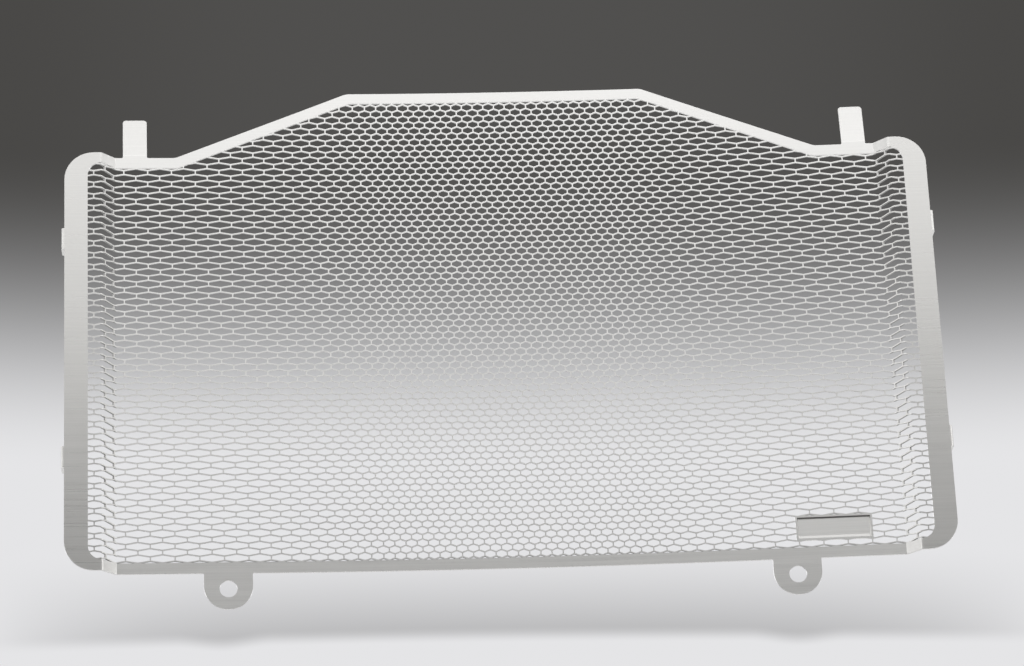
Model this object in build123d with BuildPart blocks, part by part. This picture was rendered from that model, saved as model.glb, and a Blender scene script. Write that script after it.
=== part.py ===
from build123d import *
import os
from math import atan2, copysign, cos, hypot, radians, sin, sqrt, tan

# Radiator guard: one laser-cut stainless sheet, folded, with a hollow front.
# X runs across the motorcycle, Z up, and the front of the guard faces -Y.
# The origin is midway between the two lower bolt holes. Sizes are in mm.

# Sheet and its folds
sheet = 1.0
fold_radius = 1.5

# Hollow of the panel in plan: flat wings, and shallow folds that share the bend
wing_turn = 2.7
bend_half = 93.0
bends_per_side = 2

# Outline, seen from the front
overall_width = 354.3
bottom_z = 6.5
shoulder_z = 186.1
plateau_z = 215.0
plateau_half = 61.4
slope_foot_inset = 45.0
corner_radius = 12.0
slope_radius = 4.0

# Side rails, which stand forward of the panel
rail_land = 14.9
step_run = 5.4
step_depth = 6.0

# Solid borders round the lattice
side_rail = 9.4
top_rail = 4.4
bottom_rail = 4.5
window_radius = 5.5

# Lower bolt tabs
hole_spacing = 226.0
hole_diameter = 7.0
tab_width = 19.3
tab_end = 8.4

# Upper hooks, leaning back
hook_inset = 28.4
hook_width = 9.8
hook_root = 1.0
hook_length = 17.5
hook_lean = 12.0
hook_radius = 1.4

# Side clips, folded back sharply from the rails' edges
clip_levels = (53.8, 147.9)
clip_height = 9.0
clip_depth = 6.7
clip_root = 0.1
clip_fold = 0.25

# Bare plate with a pressed recess
plate_inset = 48.4
plate_z = 19.1
plate_width = 30.8
plate_height = 10.4
plate_rim = 0.8
plate_recess = 0.8
plate_draft = 25.0

# Hexagon lattice: narrow cells in the middle, widening to the sides
lattice_z = 106.9
row_pitch = 11.5
ligament = 7.6
strand = 2.86
cell_pitch = 19.7
cell_growth = 1.34
even_half_columns = 5
growing_half_columns = 4
smallest_gap = 2.0

# Places that follow from the sizes above
half_width = overall_width / 2
slope_foot = half_width - slope_foot_inset
panel_half = half_width - rail_land - step_run
hole_x = hole_spacing / 2
hook_x = half_width - hook_inset
plate_x = half_width - plate_inset
wing_angle = radians(wing_turn)
bend_step = bend_half / bends_per_side
reach = overall_width


def sheet_angle(x):
    """Turn in plan of the wing at a given x, in radians."""
    return copysign(wing_angle, x)


def sheet_y(x, behind):
    """Y of the wing at a given x, on a surface set behind its middle."""
    return (hole_x - abs(x)) * tan(wing_angle) + behind / cos(wing_angle)


def half_column(index):
    """X of a half column of the lattice, counted from the middle."""
    x = 0.0
    step = cell_pitch / 2
    for count in range(abs(index)):
        if even_half_columns <= count < even_half_columns + growing_half_columns:
            step *= sqrt(cell_growth)
        x += step
    return x if index > 0 else -x


def gap_corners(column, row):
    """Corners of one hexagonal gap, drawn in by half a strand on every side."""
    z = lattice_z + row * row_pitch
    left, middle, right = [half_column(column + side) for side in (-1, 0, 1)]
    rise = row_pitch - ligament
    climb = rise / (middle - left)
    fall = rise / (right - middle)
    climb_drop = strand / 2 * hypot(1, climb)
    fall_drop = strand / 2 * hypot(1, fall)
    peak_shift = (fall_drop - climb_drop) / (climb + fall)
    peak = row_pitch - ligament / 2 - climb_drop + climb * peak_shift
    left_side = ligament / 2 + climb * strand / 2 - climb_drop
    right_side = ligament / 2 + fall * strand / 2 - fall_drop
    left_x = left + strand / 2
    right_x = right - strand / 2
    return [
        (left_x, z - left_side),
        (middle + peak_shift, z - peak),
        (right_x, z - right_side),
        (right_x, z + right_side),
        (middle + peak_shift, z + peak),
        (left_x, z + left_side),
    ]


def mirrored(points):
    """A right-hand half outline, completed with its left-hand half."""
    return points + [(-x, z) for x, z in reversed(points)]


# Window that the lattice fills, set in from the outline by the solid borders
slope_angle = atan2(plateau_z - shoulder_z, slope_foot - plateau_half)
window_shift = top_rail * tan(slope_angle / 2)
window_half = half_width - side_rail
window_points = mirrored(
    [
        (window_half, bottom_z + bottom_rail),
        (window_half, shoulder_z - top_rail),
        (slope_foot - window_shift, shoulder_z - top_rail),
        (plateau_half - window_shift, plateau_z - top_rail),
    ]
)
window_radii = [window_radius, window_radius, slope_radius, slope_radius]
window_radii += reversed(window_radii)

last_column = 0
while half_column(last_column - 1) < window_half:
    last_column += 1
last_row = int((plateau_z - lattice_z) / row_pitch) + 1
first_row = -int((lattice_z - bottom_z) / row_pitch) - 1

with BuildSketch() as window:
    with BuildLine():
        FilletPolyline(*window_points, radius=window_radii, close=True)
    make_face()
    with Locations((plate_x, plate_z)):
        Rectangle(plate_width, plate_height, mode=Mode.SUBTRACT)

gaps = []
for row in range(first_row, last_row + 1):
    for column in range(-last_column, last_column + 1):
        if (row + column) % 2 == 0:
            whole_gap = Polygon(*gap_corners(column, row), align=None)
            trimmed = window.sketch.face().intersect(whole_gap.face())
            if trimmed is not None:
                gaps += [face for face in trimmed.faces() if face.area > smallest_gap]

with BuildPart() as guard_panel:
    # The folded section in plan, drawn along its front face and run the full height
    along = Vector(cos(wing_angle), -sin(wing_angle))
    forward = Vector(-sin(wing_angle), -cos(wing_angle))
    inner_fold = Vector(panel_half, sheet_y(panel_half, -sheet / 2))
    outer_fold = inner_fold + along * step_run + forward * step_depth
    rail_end = outer_fold + along * (rail_land + corner_radius)
    bend_x = bend_half - bend_step / 2
    bends = [Vector(bend_x, sheet_y(bend_x, -sheet / 2))]
    for count in range(bends_per_side - 1, 0, -1):
        slope = tan(wing_angle * count / bends_per_side)
        bends.insert(0, bends[0] + Vector(-bend_step, bend_step * slope))
    right_side = [bends[-1], inner_fold, outer_fold, rail_end]
    left_side = [Vector(-point.X, point.Y) for point in reversed(right_side)]
    middle = [Vector(-point.X, point.Y) for point in reversed(bends)] + bends
    with BuildSketch(Plane.XY.offset(-2 * tab_end)):
        with BuildLine():
            FilletPolyline(*left_side, radius=[fold_radius + sheet, fold_radius])
            Polyline(*middle)
            FilletPolyline(*right_side, radius=[fold_radius, fold_radius + sheet])
            offset(amount=sheet, kind=Kind.INTERSECTION, side=Side.LEFT)
        make_face()
    extrude(amount=plateau_z + 4 * tab_end)

    # The outline seen from the front, with the bolt tabs and the feet of the hooks
    # and of the clips
    outline_points = mirrored(
        [
            (half_width, bottom_z),
            (half_width, shoulder_z),
            (slope_foot, shoulder_z),
            (plateau_half, plateau_z),
        ]
    )
    outline_radii = [corner_radius, corner_radius, slope_radius, slope_radius]
    outline_radii += reversed(outline_radii)
    with BuildSketch(Plane.XZ):
        with BuildLine():
            FilletPolyline(*outline_points, radius=outline_radii, close=True)
        make_face()
        for side in (-1, 1):
            with Locations((side * hole_x, tab_width / 2 - tab_end)):
                Circle(tab_width / 2)
                Rectangle(tab_width, bottom_z + bottom_rail, align=(Align.CENTER, Align.MIN))
            with Locations((side * hook_x, shoulder_z + hook_root)):
                Rectangle(hook_width, hook_root + top_rail, align=(Align.CENTER, Align.MAX))
            with Locations((side * hole_x, 0)):
                Circle(hole_diameter / 2, mode=Mode.SUBTRACT)
            for level in clip_levels:
                with Locations((side * half_width, level)):
                    Rectangle(2 * clip_root, clip_height)
    extrude(amount=reach, both=True, mode=Mode.INTERSECT)

    # Each hook is folded back from its foot, and its free corners are rounded
    for side in (-1, 1):
        x = side * hook_x
        turn = sheet_angle(x)
        pivot_y = sheet_y(x, sheet / 2) + fold_radius
        pivot = Axis((x, pivot_y, shoulder_z + hook_root), (-cos(turn), sin(turn), 0))
        feet = guard_panel.faces().filter_by(Axis.Z)
        foot = feet.sort_by(Vertex(x, pivot_y, shoulder_z + hook_root).distance_to)[0]
        revolve(foot, axis=pivot, revolution_arc=hook_lean)
        extrude(guard_panel.faces(Select.LAST).sort_by(Axis.Z)[-1], amount=hook_length)
        tip_z = guard_panel.faces(Select.LAST).sort_by(Axis.Z)[-1].bounding_box().max.Z
        corner_x = hook_width / 2 - hook_radius
        with BuildSketch(Plane.XZ):
            for corner in (-1, 1):
                with Locations((x + corner * hook_width / 2, tip_z)):
                    Rectangle(2 * hook_radius, 2 * hook_radius)
                with Locations((x + corner * corner_x, tip_z - hook_radius)):
                    Circle(hook_radius, mode=Mode.SUBTRACT)
        extrude(amount=reach, both=True, mode=Mode.SUBTRACT)

    # Each clip is folded back from its foot on the rail's edge
    for side in (-1, 1):
        for level in clip_levels:
            edge_faces = guard_panel.faces().filter_by(Axis.X)
            target = Vertex(side * (half_width + clip_root), 0, level)
            foot = edge_faces.sort_by(target.distance_to)[0]
            pivot_y = foot.bounding_box().max.Y + clip_fold
            pivot = Axis((foot.center().X, pivot_y, level), (0, 0, side))
            revolve(foot, axis=pivot, revolution_arc=90)
            bend_end = guard_panel.faces(Select.LAST).filter_by(Axis.Y).sort_by(Axis.Y)[-1]
            extrude(bend_end, amount=clip_depth)

    # The plate's field is pressed back, so it is a recess in front and a boss behind
    plate_turn = sheet_angle(plate_x)
    field_width = plate_width - 2 * plate_rim
    field_height = plate_height - 2 * plate_rim
    front = Plane(
        origin=(plate_x, sheet_y(plate_x, -sheet / 2), plate_z),
        x_dir=(cos(plate_turn), -sin(plate_turn), 0),
        z_dir=(-sin(plate_turn), -cos(plate_turn), 0),
    )
    with BuildSketch(front.offset(-sheet / 2)):
        Rectangle(field_width + sheet, field_height + sheet)
    extrude(amount=-plate_recess - sheet / 2, taper=plate_draft)
    with BuildSketch(front.offset(plate_recess)):
        Rectangle(field_width + plate_recess, field_height + plate_recess)
    extrude(amount=-2 * plate_recess, taper=plate_draft, mode=Mode.SUBTRACT)

    # The lattice is cut straight through from the front
    extrude([Plane.XZ * face for face in gaps], amount=reach, both=True, mode=Mode.SUBTRACT)

guard_panel.part.label = "guard_panel"
os.makedirs("parts", exist_ok=True)
export_step(guard_panel.part, "parts/guard_panel.step")
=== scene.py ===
from math import atan2, hypot, pi, radians, sin, tan

import bpy
import numpy as np
from mathutils import Matrix, Vector


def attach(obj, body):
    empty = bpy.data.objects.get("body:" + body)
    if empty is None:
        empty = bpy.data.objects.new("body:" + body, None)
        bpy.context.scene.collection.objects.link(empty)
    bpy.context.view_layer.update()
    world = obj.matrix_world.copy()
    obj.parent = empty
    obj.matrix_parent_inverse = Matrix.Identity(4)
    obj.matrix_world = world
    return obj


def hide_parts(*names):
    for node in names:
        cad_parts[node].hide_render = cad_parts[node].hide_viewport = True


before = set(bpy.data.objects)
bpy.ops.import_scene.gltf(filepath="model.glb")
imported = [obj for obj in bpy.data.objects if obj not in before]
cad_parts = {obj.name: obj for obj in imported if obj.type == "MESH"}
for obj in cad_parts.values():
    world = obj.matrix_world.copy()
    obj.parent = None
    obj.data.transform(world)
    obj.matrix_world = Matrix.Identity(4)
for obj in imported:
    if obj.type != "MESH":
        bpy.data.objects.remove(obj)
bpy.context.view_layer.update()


# Flat blank of the guard: 1 mm stainless sheet, laser-cut to one outline with the
# bolt tabs, the hooks and the feet of the side clips, and with its edges just broken.
# It is drawn flat and in millimetres: X along the sheet, Y through it, Z up.
sheet = 1.0
fold_radius = 1.0
wing_turn = radians(2.7)
bend_reach = 93.0
step_run = 5.6
step_depth = 5.8
step_turn = atan2(step_depth, step_run)
step_slant = hypot(step_run, step_depth)
fold_arc = fold_radius * step_turn
fold_tangent = fold_radius * tan(step_turn / 2)
inner_fold = 156.735
outer_fold = inner_fold + fold_arc + step_slant - 2 * fold_tangent
rail_land = 14.345
rail_edge = outer_fold + fold_arc + rail_land
rail_corner = 12.0
bottom_edge = 6.5
shoulder = 186.1
plateau = 215.0
plateau_half = 61.4
slope_foot = 132.3
slope_corner = 1.2
bolt_place = 113.06
bolt_hole = 3.5
tab_half = 9.65
tab_end = -8.4
tab_round = tab_half - 0.1
tab_root = 0.3
hook_place = 148.85
hook_half = 4.9
hook_fold = shoulder + 1.0
hook_turn = radians(12)
hook_top = 205.0
hook_corner = 1.4
hook_root = 0.6
clip_levels = (53.8, 147.9)
clip_half = 4.5
clip_corner = 0.6
clip_radius = 0.65
clip_fold = rail_edge + 0.05
clip_turn = pi / 2 + wing_turn
clip_flat = 6.8
clip_end = clip_fold + clip_radius * clip_turn + clip_flat
edge_break = 0.12


def cut_plate(name, corners, thickness):
    """A flat plate cut to its corners, each rounded over its own length."""
    bpy.ops.object.select_all(action="DESELECT")
    bpy.ops.mesh.primitive_circle_add(vertices=len(corners), fill_type="NGON")
    plate = bpy.context.object
    plate.name = name
    longest = max(corner[2] for corner in corners)
    shares = plate.data.attributes.new("bevel_weight_vert", "FLOAT", "POINT")
    for vertex, share, (x, z, rounding) in zip(plate.data.vertices, shares.data, corners):
        vertex.co = (x, -thickness / 2, z)
        share.value = rounding / longest
    rounding = plate.modifiers.new("rounding", "BEVEL")
    rounding.affect = "VERTICES"
    rounding.limit_method = "WEIGHT"
    rounding.width = longest
    rounding.segments = 10
    rounding.use_clamp_overlap = False
    bpy.ops.object.modifier_apply(modifier="rounding")
    bpy.ops.object.mode_set(mode="EDIT")
    bpy.ops.mesh.select_all(action="SELECT")
    bpy.ops.mesh.extrude_region_move(TRANSFORM_OT_translate={"value": (0, thickness, 0)})
    bpy.ops.mesh.select_all(action="SELECT")
    bpy.ops.mesh.normals_make_consistent(inside=False)
    bpy.ops.object.mode_set(mode="OBJECT")
    return plate


def combine(piece, tool, operation):
    """Work one solid on another, and take the tool away."""
    work = piece.modifiers.new(operation, "BOOLEAN")
    work.operation = operation
    work.solver = "MANIFOLD"
    work.object = tool
    bpy.context.view_layer.objects.active = piece
    bpy.ops.object.modifier_apply(modifier=work.name)
    bpy.data.objects.remove(tool)


right_half = [
    (bolt_place - tab_half, bottom_edge, tab_root),
    (bolt_place - tab_half, tab_end, tab_round),
    (bolt_place + tab_half, tab_end, tab_round),
    (bolt_place + tab_half, bottom_edge, tab_root),
    (rail_edge, bottom_edge, rail_corner),
]
for level in clip_levels:
    for side in (-1, 1):
        end = level + side * clip_half
        foot = [(rail_edge, end, 0.0), (clip_end, end, clip_corner)]
        right_half += foot[::-side]
right_half += [
    (rail_edge, shoulder, rail_corner),
    (hook_place + hook_half, shoulder, hook_root),
    (hook_place + hook_half, hook_top, hook_corner),
    (hook_place - hook_half, hook_top, hook_corner),
    (hook_place - hook_half, shoulder, hook_root),
    (slope_foot, shoulder, slope_corner),
    (plateau_half, plateau, slope_corner),
]
left_half = [(-x, z, rounding) for x, z, rounding in reversed(right_half)]
guard = cut_plate("radiator_guard", right_half + left_half, sheet)
for side in (-1, 1):
    bpy.ops.mesh.primitive_cylinder_add(
        vertices=48,
        radius=bolt_hole,
        depth=4 * sheet,
        location=(side * bolt_place, 0, 0),
        rotation=(pi / 2, 0, 0),
    )
    combine(guard, bpy.context.object, "DIFFERENCE")
broken_edge = guard.modifiers.new("broken_edge", "BEVEL")
broken_edge.limit_method = "ANGLE"
broken_edge.angle_limit = radians(60)
broken_edge.width = edge_break
broken_edge.segments = 2
bpy.ops.object.modifier_apply(modifier="broken_edge")


# Lines across the blank where it is bent later, and round the field of the small bare
# plate in its lower right corner, so that the folds and the pressing have edges to turn on.
plate_place = 128.8
plate_level = 19.1
plate_half = (15.4, 5.2)
field_reach = 14.6
field_wall = 0.4
field_levels = [plate_level + rise for rise in (-4.4, -4.3, -3.2, 4.0, 4.4)]
field_depths = [0, 0.62, 0.70, 0.80, 0]
roll_lines = 24
fold_lines = 7
hook_fold_lines = 4

bend_lines = list(np.linspace(-bend_reach, bend_reach, roll_lines))
for line in (inner_fold, outer_fold):
    for place in np.linspace(line, line + fold_arc, fold_lines):
        bend_lines += [place, -place]
clip_places = clip_fold + clip_radius * np.linspace(0, clip_turn, fold_lines)
bend_lines += [*clip_places, *-clip_places]
field_lines = [(level, 2) for level in field_levels]
for reach in (field_reach - field_wall, field_reach):
    field_lines += [(plate_place - reach, 0), (plate_place + reach, 0)]
hook_places = hook_fold + fold_radius * np.linspace(0, hook_turn, hook_fold_lines)
hook_lines = [(place, 2) for place in hook_places]
bpy.ops.object.mode_set(mode="EDIT")
for place, axis in [(line, 0) for line in bend_lines] + field_lines + hook_lines:
    across = Vector((axis == 0, 0, axis == 2))
    bpy.ops.mesh.select_all(action="SELECT")
    bpy.ops.mesh.bisect(plane_co=across * place, plane_no=across)
bpy.ops.object.mode_set(mode="OBJECT")


# The lattice that the laser cuts through the blank: rows of hexagons that are narrow in
# the middle and widen to the sides, with a border and the small plate left whole.
row_pitch = 2.608
ligament = 1.72
strand = 0.54
strand_behind = 0.2
cell_pitch = 4.464
cell_growth = 1.0893
widest_half_cell = 4.87
even_half_columns = 23
lattice_level = 106.65
lowest_row = -38
rows_apart = 40
window_half = outer_fold + fold_arc + 4.945
window_bottom = bottom_edge + 4.49
window_shoulder = shoulder - 4.5
window_plateau = plateau - 4.3
window_corner = 5.5
slope_border = 4.4
step_margin = 0.6
sliver_height = 0.7
plate_sliver_height = 0.5


def half_column(index):
    """Place of a half column along the sheet, counted from the middle."""
    place = 0.0
    step = cell_pitch / 2
    for count in range(abs(index)):
        growing = count - even_half_columns
        if growing >= 0 and growing % 2 == 0:
            step = min(step * cell_growth, widest_half_cell)
        place += step
    return place if index > 0 else -place


slope = (row_pitch - ligament) / (cell_pitch / 2)
bpy.ops.object.select_all(action="DESELECT")
punch_length = 1.2 * sheet
bpy.ops.mesh.primitive_cylinder_add(
    vertices=6, radius=1, depth=punch_length, rotation=(pi / 2, 0, 0)
)
bpy.ops.object.transform_apply(location=False, rotation=True, scale=False)
punch = bpy.context.object
for vertex in punch.data.vertices:
    x, y, z = vertex.co
    on_peak = abs(x) < 0.1
    width = strand if y < 0 else strand_behind
    height = row_pitch - ligament / 2 - width / 2 * hypot(1, slope)
    if not on_peak:
        height -= slope * (cell_pitch - width) / 2
    vertex.co = (0 if on_peak else np.sign(x), y, np.sign(z) * height)
rows = punch.modifiers.new("rows", "ARRAY")
rows.use_relative_offset = False
rows.use_constant_offset = True
rows.constant_offset_displace = (0, 0, 2 * row_pitch)
rows.count = rows_apart
bpy.ops.object.modifier_apply(modifier="rows")

last_column = 0
while half_column(last_column - 1) < window_half:
    last_column += 1
bpy.ops.object.select_all(action="DESELECT")
for index in range(-last_column, last_column + 1):
    left, right = half_column(index - 1), half_column(index + 1)
    column = punch.copy()
    column.data = punch.data.copy()
    for vertex in column.data.vertices:
        width = strand if vertex.co.y < 0 else strand_behind
        vertex.co.x *= (right - left - width) / 2
        vertex.co.x += (left + right) / 2
        vertex.co.z += lattice_level + (lowest_row + index % 2) * row_pitch
    bpy.context.collection.objects.link(column)
    column.select_set(True)
bpy.data.objects.remove(punch)
bpy.context.view_layer.objects.active = column
bpy.ops.object.join()
gaps = bpy.context.object

slope_turn = atan2(plateau - shoulder, slope_foot - plateau_half)
window_shift = slope_border * tan(slope_turn / 2)
window_right = [
    (window_half, window_bottom, window_corner),
    (window_half, window_shoulder, window_corner),
    (slope_foot - window_shift, window_shoulder, slope_corner),
    (plateau_half - window_shift, window_plateau, slope_corner),
]
window_left = [(-x, z, rounding) for x, z, rounding in reversed(window_right)]
window = cut_plate("window", window_right + window_left, 2 * sheet)
bpy.ops.mesh.primitive_cube_add(size=2, location=(plate_place, 0, plate_level))
bpy.ops.transform.resize(value=(plate_half[0], 2 * sheet, plate_half[1]))
bpy.ops.object.transform_apply(location=True, rotation=False, scale=True)
combine(window, bpy.context.object, "DIFFERENCE")
combine(gaps, window, "INTERSECT")
combine(guard, gaps, "DIFFERENCE")
corners = guard.modifiers.new("corners", "TRIANGULATE")
bpy.ops.object.modifier_apply(modifier="corners")
step_start = inner_fold - step_margin
step_end = outer_fold + fold_arc + step_margin
plate_top = plate_level + plate_half[1]
wall_foot, wall_top = field_levels[-2:]
brushed_face, highlit_cut, fold_shade_cut, deep_shade_cut = range(4)
facet_finishes = []
for facet in guard.data.polygons:
    x, _, z = facet.center
    cut = abs(facet.normal.y) < 0.5
    in_step = step_start < abs(x) < step_end and window_bottom < z < window_shoulder
    from_plate = abs(x - plate_place)
    on_field_wall = from_plate < field_reach and wall_foot < z < wall_top
    over_plate = from_plate < plate_half[0] and 0 < z - plate_top < plate_sliver_height
    in_sliver = 0 < z - window_bottom < sliver_height or over_plate
    # Cut edges in the border's thin slivers and the top wall of the plate's field take the
    # darkest colour: painted shade.
    if on_field_wall or cut and in_sliver:
        facet_finishes.append(deep_shade_cut)
    # Cut edges within the step get painted shade; the other cut edges get a painted highlight.
    elif cut:
        facet_finishes.append(fold_shade_cut if in_step else highlit_cut)
    else:
        facet_finishes.append(brushed_face)


# Pressing and folding of the cut sheet: the plate's field is pushed back, the hooks lean
# back, the clips turn back behind the rails, the rails step forward by a double fold and
# the middle is rolled, so that the front is hollow.
middle_depth = 3.136
hook_slack = 0.1
clip_slack = 0.01


def fold_back(along, depth, line, radius, turn):
    """Fold the sheet back past a line, round a bend with this radius in mid sheet."""
    past = np.maximum(along - line, 0)
    swept = np.minimum(past / radius, turn)
    straight = past - swept * radius
    along = np.minimum(along, line) + (radius - depth) * np.sin(swept) + straight * np.cos(swept)
    depth = radius - (radius - depth) * np.cos(swept) + straight * np.sin(swept)
    return along, depth


places = np.empty(3 * len(guard.data.vertices))
guard.data.vertices.foreach_get("co", places)
along, depth, level = places.reshape(-1, 3).T.copy()

beside = np.clip((field_reach - np.abs(along - plate_place)) / field_wall, 0, 1)
depth += beside * np.interp(level, field_levels, field_depths)

side = np.sign(along)
along = np.abs(along)
on_hook = (np.abs(along - hook_place) < hook_half + hook_slack) & (level > hook_fold)
level[on_hook], depth[on_hook] = fold_back(
    level[on_hook], depth[on_hook], hook_fold, fold_radius, hook_turn
)
on_clip = np.minimum(*[np.abs(level - clip) for clip in clip_levels]) < clip_half + clip_slack
on_clip &= along > clip_fold
along[on_clip], depth[on_clip] = fold_back(
    along[on_clip], depth[on_clip], clip_fold, clip_radius, clip_turn
)
along, depth = fold_back(along, depth, outer_fold, fold_radius, step_turn)
along, depth = fold_back(along, -depth, inner_fold, fold_radius, step_turn)
along, depth = fold_back(along, depth, 0, bend_reach / wing_turn, wing_turn)
folded = np.column_stack([side * along, middle_depth - depth, level]) / 1000
guard.data.vertices.foreach_set("co", folded.ravel())
guard.data.update()
bpy.ops.object.shade_smooth_by_angle(angle=radians(30))


# Finish of the sheet: stainless steel, brushed along the guard, smoother on the rails and
# darkened there by painted shade. Its laser-cut edges are lightened by a painted highlight,
# and are darkened by painted shade where they cross the step's folds, in the thin slivers
# along the border and on the top wall of the plate's pressed field; these darker ones are rougher
# too.
class Shade:
    """A shader socket: arithmetic on it adds Math nodes to its material."""

    def __init__(self, tree, socket=None):
        self.tree = tree
        self.socket = socket

    def node(self, kind, settings, inputs, output=0):
        node = self.tree.nodes.new(kind)
        for name, value in settings.items():
            setattr(node, name, value)
        for name, value in inputs.items():
            if isinstance(value, Shade):
                self.tree.links.new(value.socket, node.inputs[name])
            else:
                node.inputs[name].default_value = value
        return Shade(self.tree, node.outputs[output] if node.outputs else None)

    def math(self, operation, first, second):
        return self.node("ShaderNodeMath", {"operation": operation}, {0: first, 1: second})

    def __add__(self, other):
        return self.math("ADD", self, other)

    def __sub__(self, other):
        return self.math("SUBTRACT", self, other)

    def __rsub__(self, other):
        return self.math("SUBTRACT", other, self)

    def __mul__(self, other):
        return self.math("MULTIPLY", self, other)

    def __pow__(self, other):
        return self.math("POWER", self, other)

    __radd__ = __add__
    __rmul__ = __mul__


def new_finish(name):
    """A material with an empty tree."""
    material = bpy.data.materials.new(name)
    material.use_nodes = True
    material.node_tree.nodes.clear()
    return material, Shade(material.node_tree)


def streaks(shade, scale, detail):
    """Noise drawn out by a different amount along each axis."""
    place = shade.node("ShaderNodeTexCoord", {}, {}, "Object")
    drawn = shade.node("ShaderNodeMapping", {}, {"Vector": place, "Scale": scale})
    return shade.node("ShaderNodeTexNoise", {}, {"Vector": drawn, "Scale": 1.0, "Detail": detail})


def mixed(shade, share, first, second):
    """Two colours, mixed by a share."""
    settings = {"data_type": "RGBA"}
    return shade.node("ShaderNodeMix", settings, {"Factor": share, 6: first, 7: second}, 2)


brushed, steel = new_finish("brushed_stainless_face")
grain = streaks(steel, (14, 300, 2600), 3.0)
clouds = streaks(steel, (9, 9, 16), 2.0)
place = steel.node("ShaderNodeTexCoord", {}, {}, "Object")
along_guard = steel.node("ShaderNodeSeparateXYZ", {}, {"Vector": place}, "X")
outward = steel.math("ABSOLUTE", along_guard, 0.0)
ease = {"interpolation_type": "SMOOTHSTEP"}
rail_range = {"From Min": 0.159, "From Max": 0.164}
on_rail = steel.node("ShaderNodeMapRange", ease, {"Value": outward, **rail_range})
pattern = 0.7 * grain + 0.3 * clouds
tone = mixed(steel, pattern, (0.605, 0.60, 0.588, 1), (0.787, 0.78, 0.763, 1))
# The rails' colour is darker than the face's: painted shade, standing in for the rails catching
# less light.
rail_painted_shade_tone = mixed(steel, pattern, (0.508, 0.503, 0.490, 1), (0.661, 0.654, 0.637, 1))
face = steel.node(
    "ShaderNodeBsdfPrincipled",
    {},
    {
        "Metallic": 1.0,
        "Base Color": mixed(steel, on_rail, tone, rail_painted_shade_tone),
        "Roughness": 0.24 + 0.14 * grain + 0.06 * clouds - 0.04 * on_rail,
        "Normal": steel.node(
            "ShaderNodeBump", {}, {"Strength": 0.25, "Distance": 0.00002, "Height": grain}
        ),
    },
)
steel.node("ShaderNodeOutputMaterial", {}, {"Surface": face})


def edge_finish(name, dark, pale, roughness):
    """Finish of a cut edge, with fine lines across the thickness."""
    material, edge = new_finish(name)
    lines = streaks(edge, (5000, 200, 5000), 2.0)
    wall = edge.node(
        "ShaderNodeBsdfPrincipled",
        {},
        {
            "Metallic": 1.0,
            "Base Color": mixed(edge, lines, dark, pale),
            "Roughness": roughness + 0.12 * lines,
            "Normal": edge.node(
                "ShaderNodeBump", {}, {"Strength": 0.3, "Distance": 0.00003, "Height": lines}
            ),
        },
    )
    edge.node("ShaderNodeOutputMaterial", {}, {"Surface": wall})
    return material


# The plain cut edges are lighter than the brushed face: a painted highlight for the light that
# the strands' edges catch.
cut_edge = edge_finish(
    "laser_cut_edge_painted_highlight", (0.70, 0.695, 0.685, 1), (0.86, 0.853, 0.84, 1), 0.22
)
# Cut edges on the step's folds are rougher and painted darker: painted shade where the strands
# crossing the folds look dark.
fold_shade_edge = edge_finish(
    "painted_shade_step_edge", (0.35, 0.346, 0.34, 1), (0.46, 0.455, 0.447, 1), 0.42
)
# The darkest cut edges are painted shade, for the thin slivers and the field's top wall where
# little light reaches.
deep_shade_edge = edge_finish(
    "painted_shade_deep_edge", (0.15, 0.147, 0.142, 1), (0.22, 0.216, 0.21, 1), 0.42
)
guard.data.materials.clear()
for finish in (brushed, cut_edge, fold_shade_edge, deep_shade_edge):
    guard.data.materials.append(finish)
guard.data.polygons.foreach_set("material_index", facet_finishes)
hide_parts("guard_panel")
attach(guard, "root")


# Studio: a wide pale floor well below the guard, three soft boxes in front of it and above,
# one at each side and one over the floor behind. The backdrop is white low down, where a
# soft shadow is painted on it, and turns grey higher up.
bpy.ops.object.select_all(action="DESELECT")
floor_size = 60
floor_level = -0.75
bpy.ops.mesh.primitive_plane_add(size=floor_size, location=(0, 0, floor_level))
floor = bpy.context.object
floor.name = "floor"
floor_paint, paint = new_finish("pale_floor")
speckle = streaks(paint, (30, 30, 30), 2.0)
matt = paint.node(
    "ShaderNodeBsdfPrincipled",
    {},
    {
        "Base Color": mixed(paint, speckle, (0.76, 0.76, 0.76, 1), (0.80, 0.80, 0.80, 1)),
        "Roughness": 0.8,
    },
)
paint.node("ShaderNodeOutputMaterial", {}, {"Surface": matt})
floor.data.materials.append(floor_paint)

soft_boxes = {
    "front_box": ((0, -1.5, 1.51), (0, -1, 1.51), (1.7, 1.7), 13.2),
    "left_front_box": ((-1.1, -1.1, 1.51), (0, 0, 1.51), (1.3, 1.7), 7.8),
    "right_front_box": ((1.1, -1.1, 1.51), (0, 0, 1.51), (1.3, 1.7), 7.4),
    "left_box": ((-1.6, -0.36, 0.55), (0, -0.3, 0.1), (1.7, 0.95), 6.7),
    "right_box": ((1.6, -0.36, 0.55), (0, -0.3, 0.1), (1.7, 0.95), 7.8),
    "floor_box": ((0, 2.5, 0.6), (0, 2.5, 0), (5.0, 1.8), 36),
}
for name, (place, aim, size, power) in soft_boxes.items():
    bpy.ops.object.light_add(type="AREA", location=place)
    box = bpy.context.object
    box.name = name
    box.data.shape = "RECTANGLE"
    box.data.size, box.data.size_y = size
    box.data.energy = power
    box.rotation_euler = (Vector(aim) - Vector(place)).to_track_quat("-Z", "Y").to_euler()
    box.visible_camera = False

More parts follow.
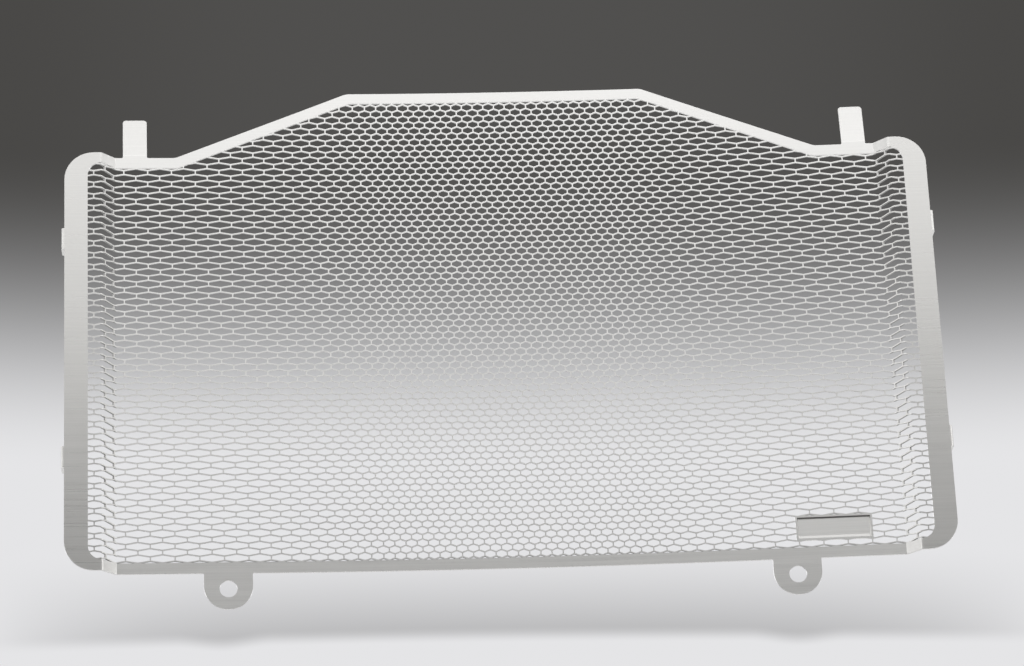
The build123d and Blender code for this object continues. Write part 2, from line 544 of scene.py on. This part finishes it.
world = bpy.data.worlds.new("studio")
bpy.context.scene.world = world
world.use_nodes = True
world.cycles.sampling_method = "NONE"
world.node_tree.nodes.clear()
sky = Shade(world.node_tree)
backdrop_side = 0.056
backdrop_tilt = 0.0327
white_level = 0.89
grey_level = 0.286
glow_reach = 0.018
glow_share = 0.045
shadow_depth = 0.195
shadow_fall = 1.3
shadow_bow = 0.25
shadow_fade = 2600
tab_side = 0.0025
tab_reach = 0.0751
dip_half = 0.013
dip_height = 0.0012
display_power = 2.2
darkest = 0.064
paper_gain = 1.41


def sines(first, second):
    """Range of a map between two heights over the horizon, in degrees."""
    return {"From Min": sin(radians(first)), "From Max": sin(radians(second))}


def eased(value, limits):
    """A value taken smoothly from one end of a range to the other."""
    return sky.node("ShaderNodeMapRange", ease, {"Value": value, **limits})


direction = sky.node("ShaderNodeTexCoord", {}, {}, "Generated")
sideways = sky.node("ShaderNodeSeparateXYZ", {}, {"Vector": direction}, "X") - backdrop_side
backward = sky.node("ShaderNodeSeparateXYZ", {}, {"Vector": direction}, "Y")
upward = sky.node("ShaderNodeSeparateXYZ", {}, {"Vector": direction}, "Z")
upward = upward + backdrop_tilt * sideways

above_floor = upward + shadow_bow * sideways**2
from_tab = sky.math("ABSOLUTE", sideways + tab_side, 0.0) - tab_reach
from_tab = sky.math("ABSOLUTE", from_tab, 0.0)
under_tab = eased(from_tab, {"From Min": dip_half, "From Max": 0, "To Max": dip_height})
shadow = sky.node("ShaderNodeMapRange", {}, {"Value": above_floor, **sines(18.3, 17.0)})
shadow_edge = eased(above_floor + under_tab, sines(16.845, 17.105))
shadow = shadow_depth * shadow**shadow_fall * shadow_edge
shadow = shadow * (1 - shadow_fade * sideways**4)

glow = eased(sideways**2, {"From Min": glow_reach, "From Max": 0, "To Max": glow_share})
tone = eased(upward, {**sines(24.2, 19.31), "To Min": grey_level, "To Max": white_level})
tone = (tone + glow * (white_level - tone)) * (1 - shadow)
whiteness = (tone**display_power - darkest) * paper_gain
paper = mixed(sky, whiteness, (0.068, 0.066, 0.063, 1), (0.782, 0.782, 0.797, 1))
behind = eased(backward, {"From Min": -0.3, "From Max": 0.3})
backdrop = sky.node("ShaderNodeBackground", {}, {"Color": paper})
dim_room = sky.node("ShaderNodeBackground", {}, {"Color": (0.16, 0.16, 0.16, 1)})
ambient = sky.node("ShaderNodeBackground", {}, {"Color": (0.45, 0.45, 0.45, 1)})
mirrored = sky.node("ShaderNodeMixShader", {}, {0: behind, 1: dim_room, 2: backdrop})
camera_ray = sky.node("ShaderNodeLightPath", {}, {}, "Is Camera Ray")
through_ray = sky.node("ShaderNodeLightPath", {}, {}, "Is Transmission Ray")
glossy_ray = sky.node("ShaderNodeLightPath", {}, {}, "Is Glossy Ray")
lit = sky.node("ShaderNodeMixShader", {}, {0: glossy_ray, 1: ambient, 2: mirrored})
seen = sky.node("ShaderNodeMixShader", {}, {0: camera_ray + through_ray, 1: lit, 2: backdrop})
sky.node("ShaderNodeOutputWorld", {}, {"Surface": seen})


# Camera: below the guard and in front of it, as in the photograph, with a long lens. It is
# turned and rolled a little, so that the guard lies in the picture as it does there.
view_distance = 1.55
view_rise = radians(21.5)
view_turn = radians(-3.4475)
view_roll = radians(-2.5567)
view_offset = (0.00354, 0.00052)
lattice_middle = Vector((0, middle_depth / 1000, lattice_level / 1000))
bpy.ops.object.camera_add()
camera = bpy.context.object
turned = Matrix.Rotation(view_turn, 4, "Z") @ Matrix.Rotation(pi / 2 + view_rise, 4, "X")
turned = turned @ Matrix.Rotation(view_roll, 4, "Z")
stand = lattice_middle + turned @ Vector((*view_offset, view_distance))
camera.matrix_world = Matrix.Translation(stand) @ turned
camera.data.sensor_width = 36
camera.data.lens = 133.86
bpy.context.scene.camera = camera
bpy.context.scene.view_settings.view_transform = "Standard"
